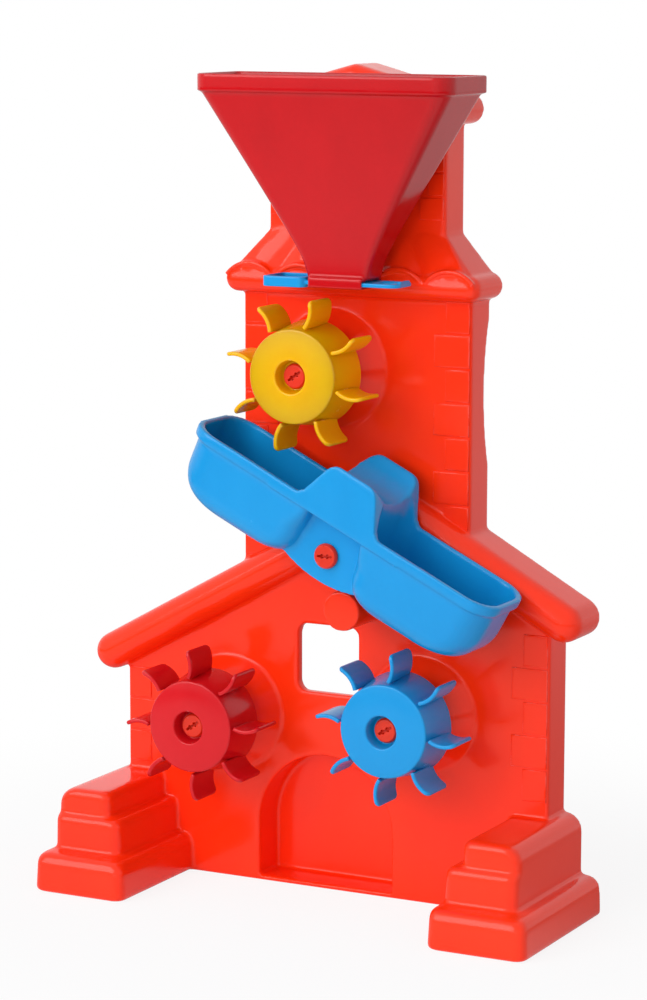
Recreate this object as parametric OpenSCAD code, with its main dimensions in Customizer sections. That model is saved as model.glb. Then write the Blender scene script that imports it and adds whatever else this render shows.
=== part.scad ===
// Sand wheel toy: a moulded house front with a hopper, three paddle wheels and a rocking tipper.
// Every piece is drawn in front view (x right, y up, z out of the wall face) and then stood upright.

/* [Shell] */
// Width of the house wall
house_w = 238.5; // [225:0.5:260]
// Depth of the open-backed shell behind the wall face
shell_depth = 22; // [18:0.5:26]
// Moulded wall thickness of the shell
wall = 2.4; // [1.8:0.1:3]
// Scoop of the tower's back edge between the roofs
back_scoop = 5.5; // [2:0.5:8]
// Width of the tower
tower_w = 126; // [116:1:136]
// Tower axis, to the right of the house axis
tower_x = 12.75; // [6:0.25:18]
// Width of the turret above the skirt roof
turret_w = 97; // [90:1:104]

/* [Roofs] */
// Height of the left gable board at its end
left_eave_h = 112.8; // [106:0.2:118]
// Height of the right gable board at its end
right_eave_h = 150.5; // [144:0.5:156]
// How far each gable board runs past the house wall
board_overhang = 8; // [5:0.5:12]
// Radius of the half-round gable boards
board_r = 9.5; // [7:0.25:10]
// Pitch of the gable in degrees
gable_pitch = 29.2; // [26:0.2:31]
// Height of the underside of the skirt roof
skirt_h = 304.5; // [298:0.5:312]
// Rise of the skirt roof
skirt_rise = 31.5; // [28:0.5:36]
// Width of the skirt roof at its eave
skirt_w = 140; // [132:1:150]
// Radius of the rounded skirt eave
skirt_eave_r = 6.5; // [5:0.25:7]
// How far the skirt eave stands out of the wall face
skirt_out = 10.5; // [8:0.25:12]
// Number of barrel tiles across the skirt
tile_count = 5; // [3:1:7]
// Height of the turret ridge line above the skirt roof
turret_rise = 74.8; // [70:0.2:80]
// Half span of the turret roof, to the end of its boards
turret_span = 51.5; // [50.5:0.5:56]
// Radius of the turret roof boards
turret_board_r = 7.5; // [6:0.25:8]
// Pitch of the turret roof in degrees
turret_pitch = 15; // [10:0.5:20]

/* [Feet] */
// Height of the feet
foot_h = 51; // [47:0.5:56]
// Height of the middle tier
foot_mid_h = 38; // [34:0.5:42]
// Height of the plinth tier
foot_base_h = 20; // [16:0.5:24]
// Reach of the plinth in front of the wall face
foot_reach = 73; // [68:0.5:80]
// Reach of the middle tier
foot_mid_reach = 59.5; // [56:0.5:62]
// Reach of the top tier
foot_top_reach = 56; // [50:0.5:56]
// How far the feet stand out past the house wall
foot_outset = 9.75; // [7:0.25:12]
// Width of the top tier
foot_top_w = 30.5; // [26:0.5:34]
// Inner step from the top tier to the middle tier
foot_mid_step = 7.5; // [6:0.25:9]
// Inner step from the middle tier to the plinth
foot_base_step = 6; // [5.5:0.25:8]
// Outer step of the plinth
foot_plinth_out = 7; // [4.5:0.25:8]
// Spread of the plinth at the floor
foot_flare = 0.5; // [0.25:0.25:3]
// Radius of the rounded tier edges
foot_round = 3.8; // [2:0.1:4.5]
// Radius of the rounded plinth edge
plinth_round = 6.5; // [4:0.1:7.5]
// Radius of the rounded outer edge of the top tier
outer_round = 9; // [6:0.25:10]
// Radius of the upright foot corners
foot_corner_r = 5; // [3.5:0.25:7]
// How far both plinths sit to the right of the tiers above
plinth_shift = 3; // [0:0.25:3.5]

/* [Wall details] */
// Clear width of the window
window_w = 34; // [26:0.5:40]
// Clear height of the window
window_h = 35; // [26:0.5:40]
// Height of the window's middle
window_z = 119.5; // [116:0.5:124]
// Window middle, from the house axis
window_x = -2.4; // [-8:0.2:4]
// Depth of the window surround behind the wall face
window_depth = 6; // [4:0.5:10]
// Clear width of the door niche
door_w = 75.8; // [60:0.2:84]
// Height of the door arch
door_h = 69.4; // [60:0.2:76]
// Door middle, from the house axis
door_x = -4.1; // [-10:0.1:4]
// Height of one corner brick course
brick_pitch = 16.9; // [14:0.1:20]
// Joint between corner bricks
brick_joint = 1.2; // [0.8:0.1:2]
// Width of a short corner brick
brick_short = 14.4; // [10:0.2:17]
// Width of a long corner brick
brick_long = 20.6; // [18:0.2:24]
// Relief of the corner bricks
brick_relief = 0.8; // [0.5:0.1:1.2]

/* [Wheels] */
// Upper wheel axis, from the house axis
upper_wheel_x = -0.2; // [-6:0.2:6]
// Height of the upper wheel axis
upper_wheel_z = 268; // [264:0.5:272]
// Left wheel axis, from the house axis
left_wheel_x = -58; // [-64:0.5:-54]
// Height of the left wheel axis
left_wheel_z = 87.6; // [84:0.2:92]
// Right wheel axis, from the house axis
right_wheel_x = 50.2; // [46:0.2:56]
// Height of the right wheel axis
right_wheel_z = 96.8; // [94:0.2:98]
// Radius of the wheel drum
drum_r = 24.5; // [22:0.25:27]
// Depth of the wheel drum
drum_depth = 25; // [20:0.5:30]
// Wall thickness of the wheels
wheel_wall = 2.2; // [1.6:0.1:3]
// Number of blades on a wheel
blade_count = 8; // [6:1:10]
// Radius to the blade tips
blade_tip_r = 37.5; // [34:0.25:39]
// Blade thickness
blade_t = 2; // [1.4:0.1:2.6]
// Bending radius of the blades
blade_curve_r = 13.5; // [11:0.25:18]
// Radius of the rounded front edge of the drum
drum_round = 3.4; // [2:0.1:4]
// Radius of the well around the pin head
well_r = 9; // [8:0.25:11]
// Depth of the well around the pin head
well_depth = 7; // [5:0.25:9]
// Radius of the soft lip of the well
well_lip = 2; // [1:0.1:2.2]
// Height of the wheel bosses
boss_h = 18; // [14:0.5:22]
// Radius of the wheel bosses at the wall
boss_pad_r = 29.5; // [26:0.5:32]

/* [Pins] */
// Diameter of the axle pins
pin_d = 8; // [6:0.25:9]
// Running clearance of a wheel or the tipper on its pin, on the radius
pin_clear = 0.08; // [0.03:0.01:0.1]
// Diameter of the pin heads
pin_head_d = 12.5; // [11.5:0.25:14]
// Thickness of the pin heads
pin_head_t = 2.6; // [2:0.1:3.4]

/* [Tipper] */
// Tipper pivot, from the house axis
pivot_x = 22.5; // [20:0.5:26]
// Height of the tipper pivot
pivot_z = 182.6; // [181:0.2:186]
// Tilt of the tipper against its stop, in degrees
tipper_tilt = 26.25; // [23:0.25:28]
// Length of the tipper over both rims
tipper_l = 181; // [172:1:192]
// Width of the tipper over the rims
tipper_w = 49; // [42:0.5:52]
// Gap between the wall face and the back of the tipper
tipper_gap = 11.6; // [10.4:0.2:13]
// Height of the rim above the pivot
rim_h = 24.5; // [20:0.5:27]
// Depth of the troughs
trough_depth = 38; // [35:0.5:40]
// Height of the centre hump above the rim
hump_h = 22; // [15:0.5:24]
// Wall thickness of the tipper
tipper_wall = 2; // [1.5:0.1:2.4]
// Height of the rim band
band_h = 6; // [4:0.5:8]
// How far the rim band stands out
band_out = 1.8; // [1:0.1:2.2]
// Radius of the stop post
post_r = 10; // [8:0.25:10]
// Drop of the stop post below the pivot
post_drop = 30.1; // [29.5:0.1:33]
// Length of the stop post
post_l = 34.5; // [30:0.5:46]

/* [Funnel] */
// Funnel axis, from the house axis
funnel_x = 19.6; // [16:0.2:24]
// Width of the rim
funnel_w = 137.5; // [124:0.5:146]
// Front of the rim, from the wall face
funnel_front = 56; // [52:0.5:60]
// Back of the rim, from the wall face
funnel_back = 10; // [9:0.5:13]
// Height of the funnel with its gate sleeve
funnel_h = 103; // [98:0.1:110]
// Height of the rim band
funnel_band_h = 9; // [6:0.5:12]
// How far the rim band stands out
funnel_band_out = 2; // [1:0.25:3]
// Wall thickness of the funnel
funnel_wall = 2; // [1.5:0.1:2.5]
// Width of the neck
neck_w = 33; // [30:0.5:38]
// Front of the neck, from the wall face
neck_front = 35; // [33:0.5:38]
// Back of the neck, from the wall face
neck_back = 17; // [16:0.5:18]
// Radius of the front rim corners
funnel_corner_r = 9.5; // [7:0.5:14]

/* [Gate] */
// Thickness of the gate plate
gate_t = 2; // [1.8:0.1:3]
// Width of the gate plate
gate_w = 20; // [19:0.5:22]
// Clearance of the gate in its sleeve
gate_clear = 0.35; // [0.3:0.05:0.5]
// Length of the sleeve
sleeve_l = 29.4; // [27:0.2:30]
// Length of the finger cup
cup_l = 23.5; // [18:0.5:26]
// Width of the finger cup
cup_w = 22; // [21:0.5:24]
// Height of the finger cup
cup_h = 5.2; // [4.5:0.1:7]
// Travel of the gate
gate_travel = 15; // [11:0.5:16]

/* [Hidden] */

// Plastic colours
orange = [1, 0.24, 0.14];
crimson = [0.8, 0.12, 0.16];
sky = [0.16, 0.59, 0.9];
yellow = [0.92, 0.75, 0.08];

// Overrun of cuts, facets of round shapes and facets of a loft corner
over = 1;
round_fn = 72;
corner_steps = 7;

// House, tower and turret
house_half = house_w / 2;
board_end = house_half + board_overhang;
gable_slope = tan(gable_pitch);
ridge_x = (right_eave_h - left_eave_h) / (2 * gable_slope);
ridge_h = left_eave_h + gable_slope * (ridge_x + board_end);
skirt_top = skirt_h + skirt_rise;
turret_ridge = skirt_top + turret_rise;
turret_eave = turret_ridge - turret_span * tan(turret_pitch);
nose_out = brick_relief / 2;

// Feet, seen on the right-hand side
foot_outer = house_half + foot_outset;
foot_top_in = foot_outer - foot_top_w;
foot_mid_in = foot_top_in - foot_mid_step;
foot_base_in = foot_mid_in - foot_base_step;
foot_base_out = foot_outer + foot_plinth_out;
plinth_top_reach = foot_reach - foot_flare;
foot_radii = [for (c = [0 : 3]) foot_corner_r];
foot_back = -shell_depth - 2 * foot_corner_r;
foot_edge = 2;
sole_share = 0.3;
tier_rise = 0.6;
tier_draft = 0.5;
round_steps = 6;

// The standing toy is centred over its own outline
left_end = min(-board_end - board_r, plinth_shift - foot_base_out - foot_flare);
right_end = max(board_end + board_r, plinth_shift + foot_base_out + foot_flare);
mid_x = (left_end + right_end) / 2;
mid_z = (foot_reach - shell_depth) / 2;

// Skirt tiles: crest line and barrel radii
eave_end_share = 0.2;
tile_w = (skirt_w - 2 * skirt_eave_r * eave_end_share) / tile_count;
tile_top_w = turret_w / tile_count;
tile_front = skirt_out - brick_relief;
crest_share = 1.04;
tile_crest_low = skirt_h + 2 * skirt_eave_r * crest_share;
tile_crest_back = 2 * brick_relief;
tile_sag_share = 0.16;
tile_sag = tile_w * tile_sag_share;
tile_r = (pow(tile_w / 2, 2) + pow(tile_sag, 2)) / (2 * tile_sag);
tile_top_r = tile_r * tile_top_w / tile_w;
arch_foot = 8.8;
arch_rise = 6;
arch_bead = 1.2;
arch_half_share = 0.47;

// Bosses and pins
pin_r = pin_d / 2;
pin_seat = pin_clear;
boss_face_share = 0.62;
boss_face_r = drum_r * boss_face_share;
tipper_boss_r = board_r;
tipper_boss_h = tipper_gap - wall;
snap_barb = 0.8;
snap_l = 5;
snap_slit = 1.6;
slot_w = 1.2;
slot_depth = 1.1;

// Wheel places along its axis
hub_back = boss_h + 2 * wheel_clear();
drum_back = boss_h + wheel_wall;
drum_front = drum_back + drum_depth;
hub_r = pin_head_d / 2 + wheel_wall / 2;
blade_root_r = drum_r - blade_t;
blade_span = blade_tip_r - drum_r;
blade_mid_r = (drum_r + blade_tip_r) / 2;
blade_sink = sqrt(pow(blade_curve_r, 2) - pow(blade_span / 2, 2));
function wheel_clear() = 0.25;

// Turns of the blades as the toy is shown, in degrees
upper_phase = 31;
left_phase = 3.5;
right_phase = 40;

// Tipper, with its pivot at the origin and its length along x
tipper_half = tipper_l / 2;
tipper_back = tipper_gap;
tipper_front = tipper_gap + tipper_w;
divider_half = 15;
shoulder_in_share = 0.78;
shoulder_out_share = 1.65;
trough_in = divider_half - tipper_wall;
trough_floor = rim_h - trough_depth;
band_floor = rim_h - band_h;
trough_end_r = 18.5;
trough_side_r = 10;
trough_corner_r = 14;
trough_root_r = 10;
trough_draft = 1.2;
trough_lean_share = 0.08;
trough_inner_r = 14;
corner_fill_share = 0.92;
root_top_share = 0.25;
inner_flare_share = 0.5;
keel_r = 62;
keel_h = 14;
keel_inset = 11.3;
saddle_dip = 10;
saddle_r = (pow(tipper_w / 2 - tipper_wall, 2) + pow(saddle_dip, 2)) / (2 * saddle_dip);
hub_tube_r = pin_r + tipper_wall;

// Gate and funnel heights
gate_seat_share = 1.25;
gate_floor = skirt_h + gate_seat_share * skirt_eave_r;
gate_top = gate_floor + gate_t;
sleeve_wall = 1;
sleeve_floor = gate_floor - gate_clear - sleeve_wall;
neck_floor = gate_top + gate_clear + sleeve_wall;
rim_top = sleeve_floor + funnel_h;
rim_bottom = rim_top - funnel_band_h;
neck_mid = (neck_front + neck_back) / 2;
sleeve_half_w = gate_w / 2 + gate_clear + sleeve_wall;
knee_h = neck_floor + 5;
knee_soft = 9;
funnel_rings = 16;
funnel_back_r = 3;
sleeve_left = funnel_x - sleeve_l / 2;
sleeve_right = funnel_x + sleeve_l / 2;
cup_right = sleeve_left - 6 * gate_clear;
cup_wall = 1.8;
gate_bar = 2;
gate_corner = 5;
gate_end = sleeve_right + gate_travel + gate_bar + 4 * gate_clear;
gate_window = gate_travel - gate_bar;
lug_w = 4;
lug_h = 14;
lug_clear = 0.2;
lug_x_share = 0.2;
lug_z = skirt_top + (rim_bottom - skirt_top) / 2;

// Placing helpers

// Stands a piece drawn in front view upright on the floor
module stand() {
    rotate([90, 0, 0]) translate([-mid_x, 0, -mid_z]) children();
}

// A cylinder or cone between two points
module rod(from, to, r1, r2) {
    run = to - from;
    length = norm(run);
    translate(from) rotate([0, acos(run[2] / length), atan2(run[1], run[0])])
        cylinder(h = length, r1 = r1, r2 = r2, $fn = round_fn);
}

// Level ring of a loft: a rectangle with four corner radii, from front right round the back to front left
function ring(x0, x1, z0, z1, radii, h) = [
    for (c = [0 : 3])
        let (r = radii[c],
             cx = c < 2 ? x1 - r : x0 + r,
             cz = c == 0 || c == 3 ? z1 - r : z0 + r)
        for (k = [0 : corner_steps])
            let (a = 90 * (c + k / corner_steps)) [cx + r * sin(a), h, cz + r * cos(a)]
];

// Solid skinned over a stack of rings, lowest first
module loft(rings) {
    n = len(rings[0]);
    last = (len(rings) - 1) * n;
    sides = [
        for (j = [0 : len(rings) - 2]) for (i = [0 : n - 1])
            let (p = j * n + i, q = j * n + (i + 1) % n) each [[p, p + n, q + n], [p, q + n, q]]
    ];
    polyhedron(points = [for (g = rings) each g],
               faces = concat([[for (i = [0 : n - 1]) i]], [[for (i = [n - 1 : -1 : 0]) last + i]], sides),
               convexity = 6);
}

// Inset of a rounded bottom edge at a height above it
function round_in(r, s) = s >= r ? 0 : r - sqrt(r * r - (r - s) * (r - s));

// Rectangle about the origin with round corners
module round_rect(w, h, r) {
    square([w, h - 2 * r], center = true);
    square([w - 2 * r, h], center = true);
    for (x = [r - w / 2, w / 2 - r]) for (y = [r - h / 2, h / 2 - r])
        translate([x, y]) circle(r = r, $fn = round_fn);
}

// Section of a roof board: flat back, half-round front
module board_section(r, back, front) {
    translate([-r, back]) square([2 * r, front - back]);
    translate([0, front]) circle(r = r, $fn = round_fn);
}

// Round end of a roof board, the half behind its end line
module board_cap(r, back, front) {
    rotate([0, 0, 90]) rotate_extrude(angle = 180, $fn = round_fn) intersection() {
        board_section(r, back, front);
        translate([0, back]) square([r, front - back + r]);
    }
}

// Roof board from its round end at the origin towards +x
module board(length, r, back, front) {
    rotate([90, 0, 90]) linear_extrude(height = length) board_section(r, back, front);
    board_cap(r, back, front);
}

// Two boards that rise from their ends and meet at a ridge
module gable(left, right, ridge, pitch, r, back, front) {
    reach = norm(ridge - left) + norm(ridge - right);
    for (side = [-1, 1]) {
        foot = side < 0 ? left : right;
        intersection() {
            translate([foot[0], foot[1], 0]) mirror([side > 0 ? 1 : 0, 0, 0]) rotate([0, 0, pitch])
                board(reach, r, back, front);
            translate([side < 0 ? ridge[0] - 2 * reach : ridge[0], ridge[1] - 2 * reach, back])
                cube([2 * reach, 4 * reach, front - back + r]);
        }
    }
}

module house_gable(r, back) {
    gable([-board_end, left_eave_h], [board_end, right_eave_h], [ridge_x, ridge_h],
          gable_pitch, r, back, nose_out);
}

module turret_gable(r, back) {
    gable([tower_x - turret_span, turret_eave], [tower_x + turret_span, turret_eave],
          [tower_x, turret_ridge], turret_pitch, r, back, nose_out);
}

// Front outlines of the house, tower and turret, drawn in by a margin
module house_outline(in) {
    half = house_half - in;
    left_h = ridge_h - gable_slope * (ridge_x + half);
    right_h = ridge_h - gable_slope * (half - ridge_x);
    polygon([[-half, in], [half, in], [half, right_h], [ridge_x, ridge_h], [-half, left_h]]);
}

module tower_outline(in) {
    half = tower_w / 2 - in;
    low = min(left_eave_h, right_eave_h);
    translate([tower_x - half, low + board_r]) square([2 * half, skirt_h + skirt_eave_r - low - board_r]);
}

module turret_outline(in) {
    half = turret_w / 2 - in;
    eave = turret_ridge - half * tan(turret_pitch);
    low = skirt_h + skirt_eave_r;
    translate([tower_x, 0])
        polygon([[-half, low], [half, low], [half, eave], [0, turret_ridge], [-half, eave]]);
}

module skirt_outline(in) {
    low = skirt_h + skirt_eave_r;
    translate([tower_x, 0])
        polygon([[in - skirt_w / 2, low], [skirt_w / 2 - in, low], [turret_w / 2 - in, skirt_top],
                 [in - turret_w / 2, skirt_top]]);
}

module outlines(in) {
    house_outline(in);
    tower_outline(in);
    turret_outline(in);
    skirt_outline(in);
}

// Rounded eave bar of the skirt roof
module skirt_eave(r, back) {
    length = skirt_w - 2 * skirt_eave_r;
    front = skirt_out - skirt_eave_r;
    translate([tower_x, skirt_h + skirt_eave_r, 0]) for (side = [0, 1])
        mirror([side, 0, 0]) translate([-length / 2, 0, 0]) board(length / 2, r, back, front);
}

// Barrel tiles of the skirt roof, fanned from the eave to the turret
module skirt_tiles() {
    lean = atan2(tile_front - tile_crest_back, skirt_top - tile_crest_low);
    stretch = 0.4;
    base_out = tile_front - tile_sag;
    intersection() {
        translate([0, 0, -wall]) linear_extrude(height = tile_front + wall) skirt_outline(0);
        translate([tower_x - skirt_w, skirt_top, 0])
            rotate([-atan2(base_out, skirt_rise - skirt_eave_r), 0, 0])
                translate([0, -2 * skirt_rise, -skirt_w]) cube([2 * skirt_w, 2 * skirt_rise, skirt_w]);
    }
    for (i = [0 : tile_count - 1]) {
        k = i - (tile_count - 1) / 2;
        low = [tower_x + k * tile_w, tile_crest_low - tile_r * sin(lean), tile_front - tile_r * cos(lean)];
        high = [tower_x + k * tile_top_w, skirt_top - tile_top_r * sin(lean),
                tile_crest_back - tile_top_r * cos(lean)];
        run = high - low;
        intersection() {
            rod(low - stretch * run, high + stretch * run, tile_r + stretch * (tile_r - tile_top_r),
                tile_top_r - stretch * (tile_r - tile_top_r));
            translate([0, 0, -wall]) linear_extrude(height = tile_front + wall)
                polygon([[tower_x + (k - 0.5) * tile_w, skirt_h + skirt_eave_r],
                         [tower_x + (k + 0.5) * tile_w, skirt_h + skirt_eave_r],
                         [tower_x + (k + 0.5) * tile_top_w, skirt_top],
                         [tower_x + (k - 0.5) * tile_top_w, skirt_top]]);
        }
    }
}

// Raised arches over the front ends of the tiles
module tile_arches() {
    half = tile_w * arch_half_share;
    arch_r = (half * half + arch_rise * arch_rise) / (2 * arch_rise);
    turn = asin(half / arch_r);
    for (i = [0 : tile_count - 1])
        translate([tower_x + (i - (tile_count - 1) / 2) * tile_w, skirt_h + arch_foot + arch_rise - arch_r,
                   tile_front - arch_bead / 2])
            rotate([0, 0, 90 - turn]) rotate_extrude(angle = 2 * turn, $fn = 2 * round_fn)
                translate([arch_r, 0]) circle(r = arch_bead, $fn = round_fn);
}

// Column of corner bricks, long and short by turns, hung from its top course
module quoins(edge, side, top, courses, pitch, short, long) {
    for (i = [0 : courses - 1]) {
        width = i % 2 == 0 ? short : long;
        translate([side < 0 ? edge : edge - width, top - (i + 1) * pitch + brick_joint, -wall / 2])
            cube([width, pitch - brick_joint, wall / 2 + brick_relief]);
    }
}

module all_quoins() {
    small_share = 0.7;
    tower_half = tower_w / 2;
    turret_half = turret_w / 2;
    for (side = [-1, 1]) {
        roof = ridge_h - gable_slope * abs(tower_x + side * tower_half - ridge_x);
        quoins(tower_x + side * tower_half, side, skirt_h, floor((skirt_h - roof) / brick_pitch),
               brick_pitch, brick_short, brick_long);
        eave = ridge_h - gable_slope * abs(side * house_half - ridge_x) - board_r / cos(gable_pitch)
            - brick_joint;
        quoins(side * house_half, side, eave, floor((eave - foot_h) / brick_pitch),
               brick_pitch, brick_short, brick_long);
        top = turret_eave - turret_board_r;
        quoins(tower_x + side * turret_half, side, top,
               floor((top - skirt_top) / (small_share * brick_pitch)), small_share * brick_pitch,
               small_share * brick_short, small_share * brick_long);
    }
}

// Inset of an edge rounded by a radius, at a depth below it
function edge_in(r, d) = d >= r ? 0 : r - sqrt(r * r - pow(r - d, 2));

// Rings of one tier: a spread foot, then edges rounded on the inner side, the outer side and the front
function tier(x0, x1, reach, low, high, spreads, rounds) = concat(
    [ring(x0 - spreads[0], x1 + spreads[1], foot_back, reach + spreads[0], foot_radii, low)],
    [for (k = [0 : round_steps])
        let (d = max(rounds) * (1 - sin(90 * k / round_steps)))
        ring(x0 + edge_in(rounds[0], d), x1 - edge_in(rounds[1], d), foot_back, reach - edge_in(rounds[2], d),
             foot_radii, high - d)]);

// One stepped foot on the right-hand side, its plinth moved sideways
module foot(shift) {
    x0 = foot_base_in + shift;
    x1 = foot_base_out + shift;
    plinth_rounds = [min(plinth_round, foot_base_step - shift), min(plinth_round, foot_plinth_out + shift),
                     plinth_round];
    loft(concat(
        [for (h = [0, foot_edge * sole_share])
            let (in = edge_in(foot_edge, h) - foot_flare)
            ring(x0 + in, x1 - in, foot_back, plinth_top_reach - in, foot_radii, h)],
        tier(x0, x1, plinth_top_reach, foot_edge, foot_base_h, [foot_flare, foot_flare], plinth_rounds),
        tier(foot_mid_in, foot_outer, foot_mid_reach, foot_base_h + tier_rise, foot_mid_h, [tier_draft, 0],
             [foot_round, 0, foot_round]),
        tier(foot_top_in, foot_outer, foot_top_reach, foot_mid_h + tier_rise, foot_h, [0, 0],
             [foot_round, outer_round, foot_round])));
}

// Hollow of one foot, open at the back
module foot_hollow(shift) {
    back = -shell_depth - over;
    for (t = [[foot_base_in + shift, foot_base_out + shift, plinth_top_reach, foot_base_h, plinth_round / 2],
              [foot_mid_in, foot_outer, foot_mid_reach, foot_mid_h, foot_round],
              [foot_top_in, foot_outer, foot_top_reach, foot_h, outer_round / 2]])
        let (inset = t[4] + wall / 2)
        translate([t[0] + inset, wall, back])
            cube([t[1] - t[0] - 2 * inset, t[3] - 2 * wall, t[2] - inset - back]);
}

module both_sides() {
    children(0);
    mirror([1, 0, 0]) children(1);
}

// Boss of a wheel: a cone from the wall up to its face
module wheel_boss(in) {
    rotate_extrude($fn = round_fn) polygon([
        [0, -wall - in], [boss_pad_r - in, -wall - in], [boss_pad_r - in, -in],
        [boss_face_r - in, boss_h - in], [0, boss_h - in]]);
}

module at_wheels() {
    for (p = [[upper_wheel_x, upper_wheel_z], [left_wheel_x, left_wheel_z], [right_wheel_x, right_wheel_z]])
        translate([p[0], p[1], 0]) children();
}

module at_pivot() {
    translate([pivot_x, pivot_z, 0]) children();
}

// Arched door shape and rounded window shape, grown by a margin
module door_shape(out) {
    half = door_w / 2 + out;
    spring = door_h - door_w / 2;
    translate([door_x, wall - out]) intersection() {
        union() {
            translate([-half, 0]) square([2 * half, spring - wall + out]);
            translate([0, spring - wall + out]) circle(r = half, $fn = round_fn);
        }
        translate([-half, 0]) square([2 * half, spring + half]);
    }
}

module window_shape(out) {
    corner_share = 0.14;
    translate([window_x, window_z])
        round_rect(window_w + 2 * out, window_h + 2 * out, window_w * corner_share + out);
}

// Places of the two funnel lugs on the turret wall
module at_lugs() {
    for (side = [-1, 1]) translate([funnel_x + side * lug_x_share * funnel_w, lug_z, 0]) children();
}

// Outer skin of the shell before it is hollowed
module shell_skin() {
    translate([0, 0, -shell_depth]) linear_extrude(height = shell_depth) outlines(0);
    house_gable(board_r, -shell_depth);
    turret_gable(turret_board_r, -shell_depth);
    skirt_eave(skirt_eave_r, -shell_depth);
    skirt_tiles();
    tile_arches();
    all_quoins();
    intersection() {
        both_sides() {
            foot(plinth_shift);
            foot(-plinth_shift);
        }
        translate([-2 * house_w, 0, -shell_depth])
            cube([4 * house_w, 2 * foot_h, shell_depth + 2 * foot_reach]);
    }
}

// Space inside the shell, open at the back
module shell_hollow() {
    back = -shell_depth - over;
    translate([0, 0, back]) linear_extrude(height = -wall - back) outlines(wall);
    house_gable(board_r - wall, back);
    turret_gable(turret_board_r - wall, back);
    skirt_eave(skirt_eave_r - wall, back);
    both_sides() {
        foot_hollow(plinth_shift);
        foot_hollow(-plinth_shift);
    }
}

// Scoop behind the tower walls, between the ridge of the house and the skirt roof
module tower_scoop() {
    low = ridge_h + 2 * board_r;
    half = (skirt_h - board_r - low) / 2;
    r = (half * half + back_scoop * back_scoop) / (2 * back_scoop);
    translate([tower_x - tower_w, low + half, back_scoop - shell_depth - r]) rotate([0, 90, 0])
        cylinder(h = 2 * tower_w, r = r, $fn = 2 * round_fn);
}

module tower_shell() {
    color(orange) stand() difference() {
        union() {
            difference() {
                shell_skin();
                shell_hollow();
            }
            at_wheels() wheel_boss(0);
            at_pivot() translate([0, 0, -wall])
                cylinder(h = tipper_boss_h + wall, r = tipper_boss_r, $fn = round_fn);
            translate([pivot_x, pivot_z - post_drop, -wall])
                cylinder(h = post_l + wall, r = post_r, $fn = round_fn);
            translate([0, 0, -shell_depth]) linear_extrude(height = shell_depth) door_shape(wall);
            translate([0, 0, -window_depth]) linear_extrude(height = window_depth) window_shape(wall);
        }
        tower_scoop();
        at_wheels() translate([0, 0, -wall]) wheel_boss(wall / 2);
        at_wheels() cylinder(h = boss_h + over, r = pin_r + pin_seat, $fn = round_fn);
        at_pivot() translate([0, 0, -wall - over])
            cylinder(h = tipper_boss_h + over, r = tipper_boss_r - wall, $fn = round_fn);
        at_pivot() cylinder(h = tipper_boss_h + over, r = pin_r + pin_seat, $fn = round_fn);
        translate([pivot_x, pivot_z - post_drop, -wall - over])
            cylinder(h = post_l + over, r = post_r - wall, $fn = round_fn);
        translate([0, 0, wall - shell_depth]) linear_extrude(height = shell_depth) door_shape(0);
        translate([0, 0, -window_depth - over])
            linear_extrude(height = window_depth + 2 * over) window_shape(0);
        at_lugs() translate([-lug_w / 2 - lug_clear, -lug_h / 2 - lug_clear, -wall - over])
            cube([lug_w + 2 * lug_clear, lug_h + 2 * lug_clear, wall + brick_relief + 2 * over]);
    }
}

// Funnel section at a height: half width, front and back follow one soft knee
function knee(h) = let (s = h - knee_h) (s + sqrt(s * s + knee_soft * knee_soft)) / 2;
function knee_share(h) = (knee(h) - knee(neck_floor)) / (knee(rim_bottom) - knee(neck_floor));
function mix(a, b, t) = a + (b - a) * t;
function funnel_radii(r, in) = [r, funnel_back_r - in / 2, funnel_back_r - in / 2, r];
function funnel_ring(h, in) =
    let (t = knee_share(h),
         half = mix(neck_w / 2, funnel_w / 2 - funnel_band_out, t) - in,
         front = mix(neck_front, funnel_front - funnel_band_out, t) - in,
         back = mix(neck_back, funnel_back + funnel_band_out, t) + in,
         r = mix(funnel_back_r, funnel_corner_r - funnel_band_out, t) - in / 2)
    ring(funnel_x - half, funnel_x + half, back, front, funnel_radii(r, in), h);
function rim_ring(h, in) =
    ring(funnel_x - funnel_w / 2 + in, funnel_x + funnel_w / 2 - in, funnel_back + in, funnel_front - in,
         funnel_radii(funnel_corner_r - in / 2, in), h);
function funnel_stack(in) = [for (k = [0 : funnel_rings])
    let (t = k / funnel_rings) funnel_ring(mix(neck_floor, rim_bottom, pow(t, 1.6)), in)];

// Hook lug behind the funnel, hanging over the lower edge of its slot in the turret wall
module funnel_lug() {
    reach = mix(neck_back, funnel_back, knee_share(lug_z)) + funnel_wall;
    translate([-lug_w / 2, -lug_h / 2, -2 * wall - lug_clear])
        cube([lug_w, lug_h, reach + 2 * wall + lug_clear]);
    translate([-lug_w / 2, -lug_h / 2 - wall, -2 * wall - lug_clear])
        cube([lug_w, lug_h, wall]);
}

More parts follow.
